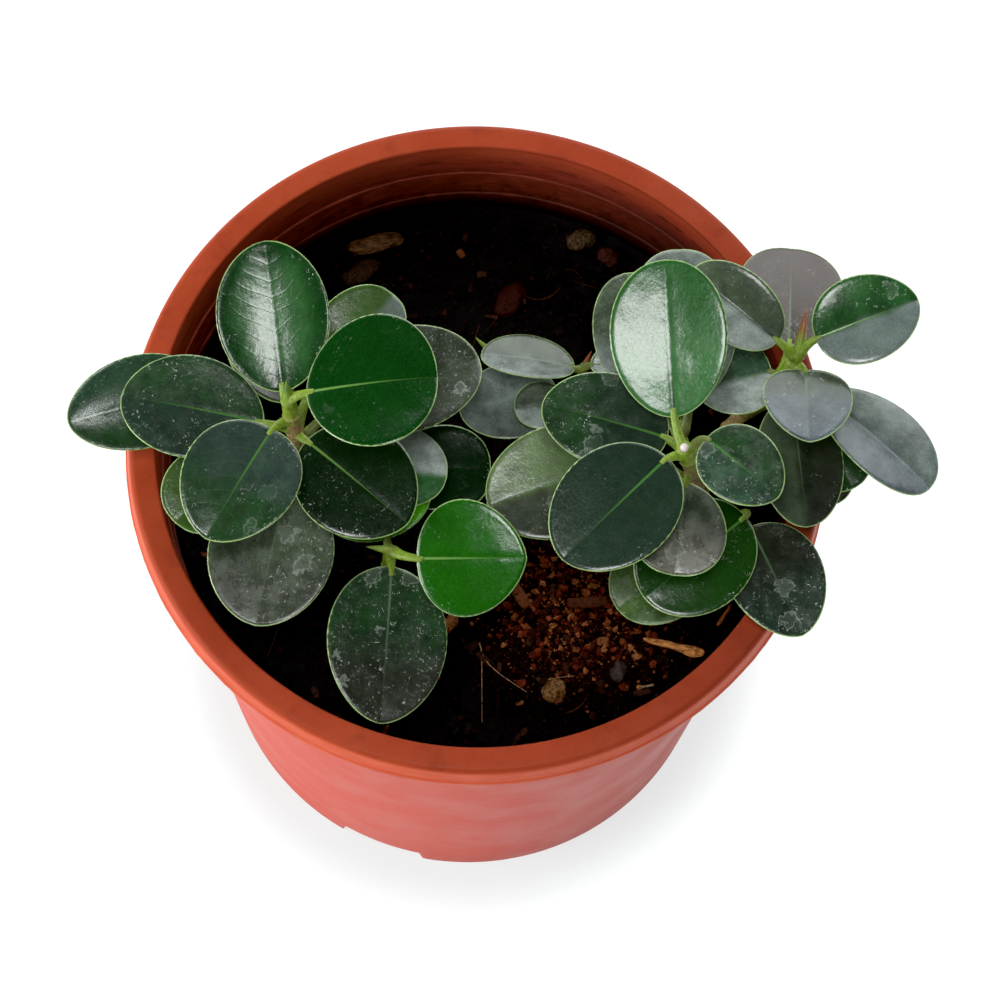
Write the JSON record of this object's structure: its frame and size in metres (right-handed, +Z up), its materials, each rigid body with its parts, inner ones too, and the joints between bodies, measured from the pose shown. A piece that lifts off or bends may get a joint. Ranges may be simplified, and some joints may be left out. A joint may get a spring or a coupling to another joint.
{
  "type": "potted chinese banyan",
  "caption": "Young potted banyan with thick round glossy leaves on short leafy stems, standing in bark soil in a round tapered nursery pot.",
  "frame": {"origin": "centre of the pot's foot, at the level of the surface that it stands on", "axes": "+Z up along the pot's axis, +X to the right and +Y away from the viewer in the picture"},
  "size_m": [0.2425, 0.2, 0.2348],
  "materials": {
    "pot_plastic": "satin terracotta-coloured moulded plastic, dusty",
    "potting_soil": "dark crumbly bark and coco soil",
    "foliage": "thick waxy leaves, dark green with pale margins, midribs and lime specks",
    "bark_bits": "dry tan bark and twig",
    "stone_bits": "dull brown stone"
  },
  "bodies": {
    "root": {"pot": "pot_plastic", "soil": "potting_soil", "shoot_left": "foliage", "shoot_front": "foliage", "shoot_middle": "foliage", "shoot_right": "foliage", "shoot_back_right": "foliage", "twig": "bark_bits", "nugget": "bark_bits", "dark_pebble": "stone_bits", "long_bark_chip": "bark_bits", "flat_bark_chip": "bark_bits", "tan_stone": "stone_bits", "red_stone": "stone_bits", "red_chunk": "bark_bits", "orange_chip": "bark_bits"}
  },
  "joints": []
}
